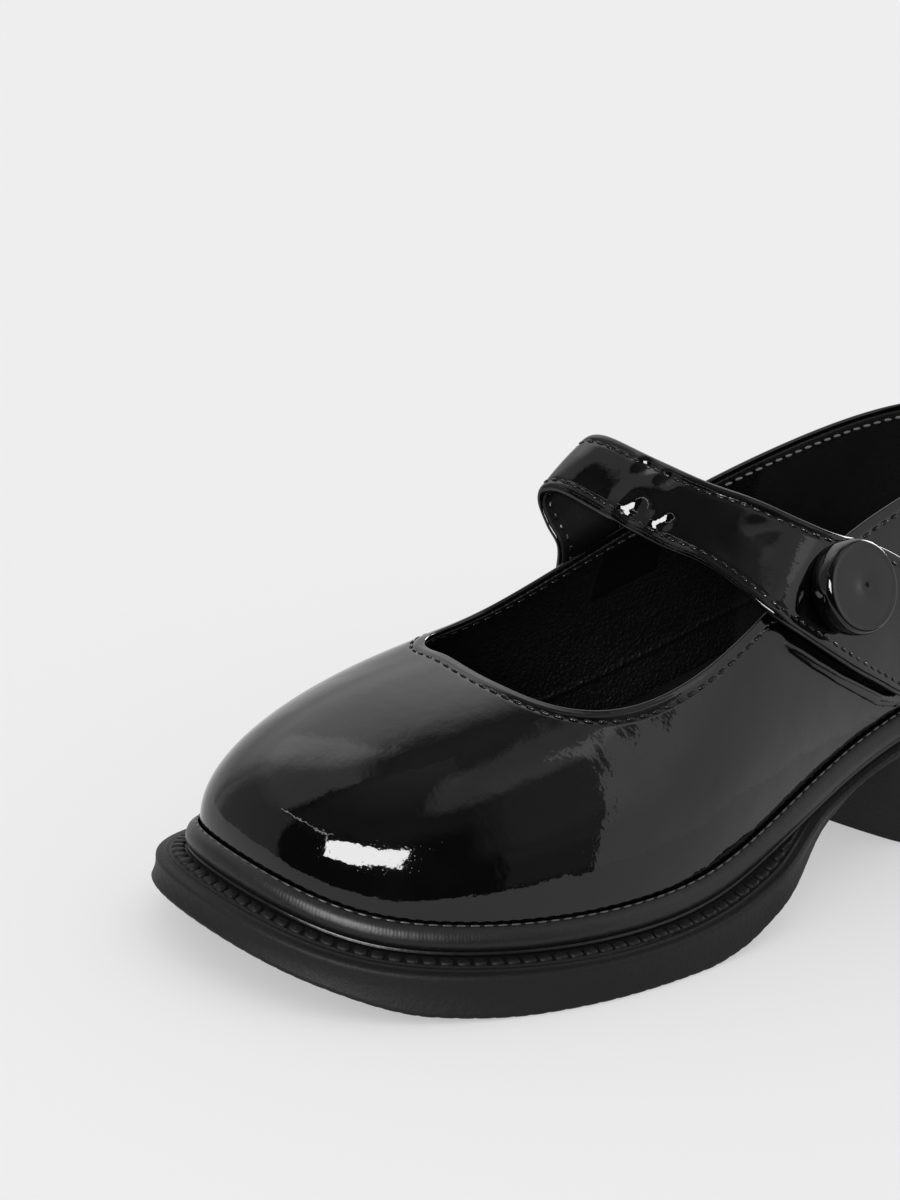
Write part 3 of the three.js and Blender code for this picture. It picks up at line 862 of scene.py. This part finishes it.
# the block heel
heelShape = dict(inset=.8, rows=44, cells=24, bulge=2.8, levels=10, bevel=.7, bevelRows=5, halfWidth=28,
                 gap=.4, endRows=12)
heelLevels = named("outerRound innerRound inset", [[.1325, .151, .9], [.147, .166, 0]])  # ground, sole


# outline of the heel at one level: outer side, breast bowed forwards by 4 t (1 - t), inner side
def heelLoop(level):
    s = heelShape
    outerRound, innerRound, inset = (heelLevels[k][level] for k in ("outerRound", "innerRound", "inset"))
    f = np.linspace(0, 1, s["rows"])
    side = lambda u: outline(u, curve(shelf, "foot", last(u, 0)[..., 1]) - s["inset"] - inset)
    outer, inner = side(outerRound * f), side(1 - innerRound * f)
    t = np.linspace(0, 1, s["cells"])[1:-1, None]
    breast = outer[-1] + (inner[-1] - outer[-1]) * t
    breast[:, 1] += s["bulge"] * 4 * t[:, 0] * (1 - t[:, 0])
    return np.concatenate((outer, breast, inner[:0:-1]))


# rounds the corners of a closed outline by averaging neighbours
def softened(loop, times=3):
    for _ in range(times):
        loop = (np.roll(loop, 1, 0) + 2 * loop + np.roll(loop, -1, 0)) / 4
    return loop


# a straight blend from the ground outline to the one under the sole, bevelled at the ground and
# closed at both ends by rings drawn in to their centre
def makeHeel():
    s = heelShape
    low, high = softened(heelLoop(0)), softened(heelLoop(1))
    low[:, 2] = 0
    high[:, 2] = curve(under, "up", high[:, 1]) - s["gap"]
    centre, topCentre = low.mean(0), high.mean(0)
    up, inward = edgeArc(s["bevel"], s["bevelRows"])
    rim = low + (centre - low) * (inward / s["halfWidth"])[..., None]
    rim[..., 2] = up
    wall = rim[-1] + (high - rim[-1]) * np.linspace(0, 1, s["levels"])[1:, None, None]
    shrink = np.linspace(1, 0, s["endRows"])[:-1, None, None]
    ground = centre + (rim[0] - centre) * (1 - shrink)
    top = topCentre + (high - topCentre) * shrink[1:]
    top[..., 2] = curve(under, "up", top[..., 1]) - s["gap"]
    part = gridPart(np.concatenate((ground, rim, wall, top)))
    makePiece("heelBlock", [part], soleRubber, ["heel"], sharp=40)


makeHeel()


# the strap: patent layer folded round a lining layer, sewn along both edges
strapShape = dict(gap=.6, thick=2.6, crown=.5, steps=620, across=40, split=-.25, layerGap=.06,
                  liningInset=.55, seamIn=2.7, seamDip=.18, seamWidth=.5, edgePuff=.14, puffWidth=.7)
strapStitch = dict(pitch=3.0, share=.7, radius=.38, lean=.12, steps=3001)
# soft waves of the strap: place along, place across (0 front, 1 rear), half sizes, turn, depth;
# a kink is a short steep fall towards the button instead of a hill
strapWaves = named("along across widthAlong widthAcross turn depth kink", [
    [.511, .24, .0095, .19, 0, 1.25, 1],
    [.539, .27, .007, .12, .2, .95, 1],
    [.524, .5, .03, .26, 0, .55, 0],
    [.498, .84, .008, .1, 0, 1.05, 1],
    [.519, .81, .007, .08, 0, .9, 1],
    [.45, .5, .016, .4, .2, .2, 0],
    [.58, .55, .024, .6, .3, .6, 0],
    [.6, .25, .012, .18, -.6, -.4, 0],
    [.612, .72, .012, .18, .5, -.4, 0],
    [.64, .35, .026, .35, .3, .22, 0],
    [.7, .35, .03, .35, 0, -.2, 0],
    [.8, .5, .04, .5, 0, .22, 0],
])


# front to rear rows of the strap's middle surface at each station
def strapRows():
    t = np.linspace(0, 1, 6)
    between = lambda front, rear: front[:, None] + (rear - front)[:, None] * t

    def onQuarter(s):
        around, rise = between(s["frontRound"], s["rearRound"]), between(s["frontRise"], s["rearRise"])
        return shell(around, rise, strapShape["gap"] + strapShape["thick"] / 2)

    def overInstep(s):
        return np.stack([between(s["front" + k], s["rear" + k]) for k in ("X", "Along", "Up")], -1)

    return np.concatenate((onQuarter(strapInner), overInstep(strapFree), onQuarter(strapOuter)))


strapStations = strapRows()


# Catmull-Rom along the stations, straight blend between the six points across
def strapPoint(s, t):
    s, t = np.broadcast_arrays(s, t)
    count = len(strapStations)
    x = np.clip(s, 0, 1) * (count - 1)
    i = np.minimum(np.floor(x).astype(int), count - 2)
    f = x - i
    weight = (-f**3 + 2 * f**2 - f, 3 * f**3 - 5 * f**2 + 2, -3 * f**3 + 4 * f**2 + f, f**3 - f**2)
    weight = np.stack(weight, -1)[..., None] / 2
    row = np.clip(i[..., None] + np.arange(-1, 3), 0, count - 1)
    y = np.clip(t, 0, 1) * 5
    k = np.minimum(np.floor(y).astype(int), 4)
    g = (y - k)[..., None, None]
    points = strapStations[row, k[..., None]] * (1 - g) + strapStations[row, k[..., None] + 1] * g
    return (weight * points).sum(-2)


# outward side of the strap: cross product of the directions across and along
def strapNormal(s, t):
    run = strapPoint(s + 2e-3, t) - strapPoint(s - 2e-3, t)
    side = strapPoint(s, 1.0) - strapPoint(s, 0.0)
    return unit(np.cross(side, run))


# squared sine over the free span, nothing where the strap lies on the quarters
def freeShare(s):
    first = len(strapInner["frontRound"]) - 1
    final = first + len(strapFree["frontX"])
    share = (s * (len(strapStations) - 1) - first) / (final - first)
    return np.sin(np.pi * np.clip(share, 0, 1))**2


# distance from the front edge to the rear edge
def strapWidth(s):
    return np.linalg.norm(strapPoint(s, 1.0) - strapPoint(s, 0.0), axis=-1)


# middle surface + height + crown * 4 t (1 - t) + soft waves depth * exp(-a^2 - b^2) in turned axes
def strapSurface(s, t, height):
    w = strapWaves
    bow = strapShape["crown"] * 4 * t * (1 - t) * freeShare(s)
    for i in range(len(w["depth"])):
        a = (s - w["along"][i]) / w["widthAlong"][i]
        b = (t - w["across"][i]) / w["widthAcross"][i] - a * w["turn"][i]
        bow = bow + w["depth"][i] * (1 - w["kink"][i] * (1 + a)) * np.exp(-a * a - b * b)
    return strapPoint(s, t) + strapNormal(s, t) * (bow + height)[..., None]


# a closed band: a rounded rectangle across between two heights, carried along the strap; a sewn
# layer dips along its seams and puffs up beside them
def makeStrapLayer(name, low, high, inset, material, replaces=(), sewn=False):
    shape = strapShape
    s = np.linspace(0, 1, shape["steps"])[:, None]
    width = strapWidth(s)
    radius, middle = (high - low) / 2, (high + low) / 2
    edge = (inset + radius) / width
    flat = edge + (1 - 2 * edge) * np.linspace(0, 1, shape["across"])
    dip = 0
    if sewn:
        fromEdge = np.minimum(flat, 1 - flat) * width
        dip = -shape["seamDip"] * hill(fromEdge, shape["seamIn"], shape["seamWidth"])
        dip = dip + shape["edgePuff"] * hill(fromEdge, shape["seamIn"] / 2, shape["puffWidth"])
    a = np.linspace(np.pi / 2, -np.pi / 2, 9)[1:-1]
    turn = radius / width * np.cos(a)
    bands = [strapSurface(s, flat, high + dip),
             strapSurface(s, 1 - edge + turn, middle + radius * np.sin(a)),
             strapSurface(s, flat[:, ::-1], low),
             strapSurface(s, (edge - turn)[:, ::-1], middle + radius * np.sin(a[::-1]))]
    ring = np.concatenate(bands, axis=1)
    points, quads, uv = gridPart(ring)
    # the two ends are closed by a fan to their middle, as quads with one doubled corner
    rows, cols = ring.shape[:2]
    k = np.arange(cols)
    after = (k + 1) % cols
    end = (rows - 1) * cols
    first = np.stack((k * 0 + rows * cols, after, k, k), -1)
    final = np.stack((k * 0 + rows * cols + 1, k + end, after + end, after + end), -1)
    part = (np.concatenate((points, [ring[0].mean(0), ring[-1].mean(0)])),
            np.concatenate((quads, first, final)), np.concatenate((uv, np.zeros((2 * cols, 4, 2)))))
    makePiece(name, [part], material, replaces)


# both edges, on the outside and on the lining side
def makeStrapStitches():
    shape = strapShape
    s = np.linspace(0, 1, strapStitch["steps"])
    inset = shape["seamIn"] / strapWidth(s)
    parts = []
    for t in (inset, 1 - inset):
        for height, flip in ((shape["thick"] / 2 - shape["seamDip"], 1), (-shape["thick"] / 2, -1)):
            seam, normals = strapSurface(s, t, height), strapNormal(s, t) * flip
            parts.append(stitchesAlong(seam, normals, strapStitch))
    makePiece("strapStitches", parts, sewingThread)


strapHalf, liningTop = strapShape["thick"] / 2, strapShape["split"] - strapShape["layerGap"]
makeStrapLayer("strapPatent", strapShape["split"], strapHalf, 0, patent, ["strap"], sewn=True)
makeStrapLayer("strapLining", -strapHalf, liningTop, strapShape["liningInset"], edgeLeather)
makeStrapStitches()


# the covered button: where it sits on the outer quarter, and its profile as radius and height
buttonShape = dict(around=.18, rise=.84, gap=.6, segments=128, finer=3, profile=[
    [0, 0], [5, 0], [9.0, .02], [10.2, .3], [10.9, 1.0], [11.3, 2.2], [11.42, 3.6], [11.4, 4.9],
    [11.3, 5.9], [11.1, 6.6], [10.75, 7.15], [10.35, 7.42], [10.0, 7.48], [9.65, 7.4], [9.2, 7.3],
    [7.6, 7.34], [5.4, 7.3], [3.8, 7.24], [2.6, 7.12], [1.8, 6.96], [1.1, 6.76], [.5, 6.62], [0, 6.58],
])


# profile turned about the normal of the outer quarter: its knots are joined by straight lines, then
# each point is averaged twice with its neighbours
def makeButton():
    s = buttonShape
    around, rise = np.array([s["around"]]), np.array([s["rise"]])
    axis = lastNormal(around, rise)[0]
    centre = last(around, rise)[0] + axis * (strapShape["gap"] + strapShape["thick"] + s["gap"])
    side = unit(np.cross([0, 0, 1.0], axis))
    up = np.cross(axis, side)
    knots = np.array(s["profile"])
    x, fine = np.linspace(0, 1, len(knots)), np.linspace(0, 1, len(knots) * s["finer"])
    profile = np.stack([np.interp(fine, x, knots[:, k]) for k in (0, 1)], -1)
    for _ in range(2):
        profile[1:-1] = (profile[:-2] + 2 * profile[1:-1] + profile[2:]) / 4
    a = np.arange(s["segments"]) / s["segments"] * 2 * np.pi
    radial = side * np.cos(a)[:, None] + up * np.sin(a)[:, None]
    points = centre + profile[:, :1, None] * radial + profile[:, 1:, None] * axis
    makePiece("coveredButton", [gridPart(points)], patent, ["button"])


makeButton()
print("shoe ready")


# the studio: a pale floor, a soft surround and softboxes that show only in reflections
studio = dict(floor=.5, glow=.444, soft=.832, backdrop=.855)
# corners of the floor in metres; it ends close in front of the toe and beside the outer side
floorCorners = [(-3, 3), (-3, -1.6), (-.2285, -.7276), (.1992, -.0087), (-2.86, 2.86)]


def buildFloor(graph):
    cloud = graph.noise(3.0)
    paper = graph.blend(cloud, grey(studio["floor"] * .985), grey(studio["floor"]))
    return {"Base Color": paper, "Roughness": cloud * .05 + .85, "Emission Color": grey(1),
            "Emission Strength": studio["glow"], "Specular IOR Level": 0.0}


# a sheet of pale paper
def makeFloor():
    mesh = bpy.data.meshes.new("floor")
    mesh.from_pydata([(x, y, 0) for x, y in floorCorners], [], [list(range(len(floorCorners)))])
    mesh.materials.append(makeMaterial("paper", buildFloor))
    floor = bpy.data.objects.new("floor", mesh)
    bpy.context.scene.collection.objects.link(floor)


# unit vector: azimuth 0 looks out over the toe (-Y), 90 to the outer side (+X)
def direction(azimuth, elevation):
    a, e = math.radians(azimuth), math.radians(elevation)
    return np.array([math.sin(a) * math.cos(e), -math.cos(a) * math.cos(e), math.sin(e)])


softboxes = dict(
    toeSoftbox=dict(aim=(.02, -.1, .035), azimuth=37, elevation=26, distance=1.3, width=.93, height=.4,
                    power=26, turn=-5),
    stripLight=dict(aim=(.02, -.1, .035), azimuth=-7, elevation=39.5, distance=1.3, width=.78, height=.016,
                    power=.22, turn=0),
    rimSoftbox=dict(aim=(.035, .03, .05), azimuth=-166, elevation=20, distance=1.2, width=.55, height=.45,
                    power=10, turn=0),
)


# an area light facing its aim from a direction, unseen by the camera and by diffuse rays
def makeSoftbox(name, aim, azimuth, elevation, distance, width, height, power, turn):
    light = bpy.data.lights.new(name, "AREA")
    light.shape = "RECTANGLE"
    light.size = width
    light.size_y = height
    light.energy = power
    lamp = bpy.data.objects.new(name, light)
    back = direction(azimuth, elevation)
    lamp.matrix_world = lookFrom(np.array(aim) + back * distance, back, turn)
    lamp.visible_camera = False
    lamp.visible_diffuse = False
    bpy.context.scene.collection.objects.link(lamp)


# matrix of a camera or light at position whose +Z axis is back, rolled in degrees about it
def lookFrom(position, back, roll):
    right = unit(np.cross([0, 0, 1.0], back))
    up = np.cross(back, right)
    r = math.radians(roll)
    right, up = math.cos(r) * right + math.sin(r) * up, -math.sin(r) * right + math.cos(r) * up
    m = np.eye(4)
    m[:3, 0], m[:3, 1], m[:3, 2], m[:3, 3] = right, up, back, position
    return Matrix(m.tolist())


# pale parts of the room: azimuth and elevation from-to and softness in degrees, the fall of the lower
# and upper edge per degree of azimuth, radiance
roomParts = named("azFrom azTo azSoft elFrom elTo elSoft lean light", [
    [-176, -62, 26, -30, 70, 14, 0, .84],
    [-150, -68, 30, 26, 62, 18, 0, .6],
    [-62, -13, 4, -30, 38, 8, 0, .36],
    [-84, -24, 6, 38, 72, 10, 0, .6],
    [112.5, 185, 1.5, -9.4, 66, 1.5, .42, .9],
    [60, 185, 16, 56, 77, 7, 0, .42],
    [88, 122, 22, 14, 66, 16, 0, .26],
    [90, 112.5, 4, -9, 14, 8, 0, .16],
    [-20, 84, 20, 38, 100, 14, 0, .1],
])


# the world: glossy rays see the sum of soft-edged windows in azimuth and elevation, others a plain one
def makeRoom():
    world = bpy.data.worlds.new("room")
    bpy.context.scene.world = world
    world.use_nodes = True
    graph = Graph(world.node_tree)
    x, y, z = graph.parts(graph.node("ShaderNodeTexCoord", output="Generated"))
    azimuth = x.math("ARCTAN2", y * -1) * (180 / math.pi)
    elevation = z.math("ARCSINE") * (180 / math.pi)
    light = elevation.step(52, 88) * .22 + .02  # a paler ceiling over a faint glow
    for azFrom, azTo, azSoft, elFrom, elTo, elSoft, lean, level in zip(*roomParts.values()):
        height = elevation + (azimuth - azFrom) * lean
        light = light + azimuth.window(azFrom, azTo, azSoft) * height.window(elFrom, elTo, elSoft) * level
    mirrored = graph.node("ShaderNodeLightPath", output="Is Glossy Ray")
    seen = graph.node("ShaderNodeLightPath", output="Is Camera Ray")
    strength = light * mirrored + (1 - mirrored) * ((1 - seen) * studio["soft"] + seen * studio["backdrop"])
    background = graph.node("ShaderNodeBackground", None, {"Color": (1, 1, 1, 1), "Strength": strength})
    graph.node("ShaderNodeOutputWorld", None, {"Surface": background})


cameraView = dict(azimuth=55.7926, elevation=19.306, roll=1.8808, distance=.68533, lens=50.846,
                  sensorHeight=24, target=(-.0894897, -.0006342, .04))


# from over the toe and the outer side, a little rolled: position = target + distance * direction
def makeCamera():
    view = cameraView
    data = bpy.data.cameras.new("camera")
    data.sensor_fit = "VERTICAL"
    data.sensor_height = view["sensorHeight"]
    data.lens = view["lens"]
    data.clip_start = .01
    camera = bpy.data.objects.new("camera", data)
    back = direction(view["azimuth"], view["elevation"])
    camera.matrix_world = lookFrom(np.array(view["target"]) + back * view["distance"], back, view["roll"])
    bpy.context.scene.collection.objects.link(camera)
    bpy.context.scene.camera = camera


makeFloor()
for name, box in softboxes.items():
    makeSoftbox(name, **box)
makeRoom()
makeCamera()
bpy.context.scene.view_settings.view_transform = "Standard"
print("studio ready")
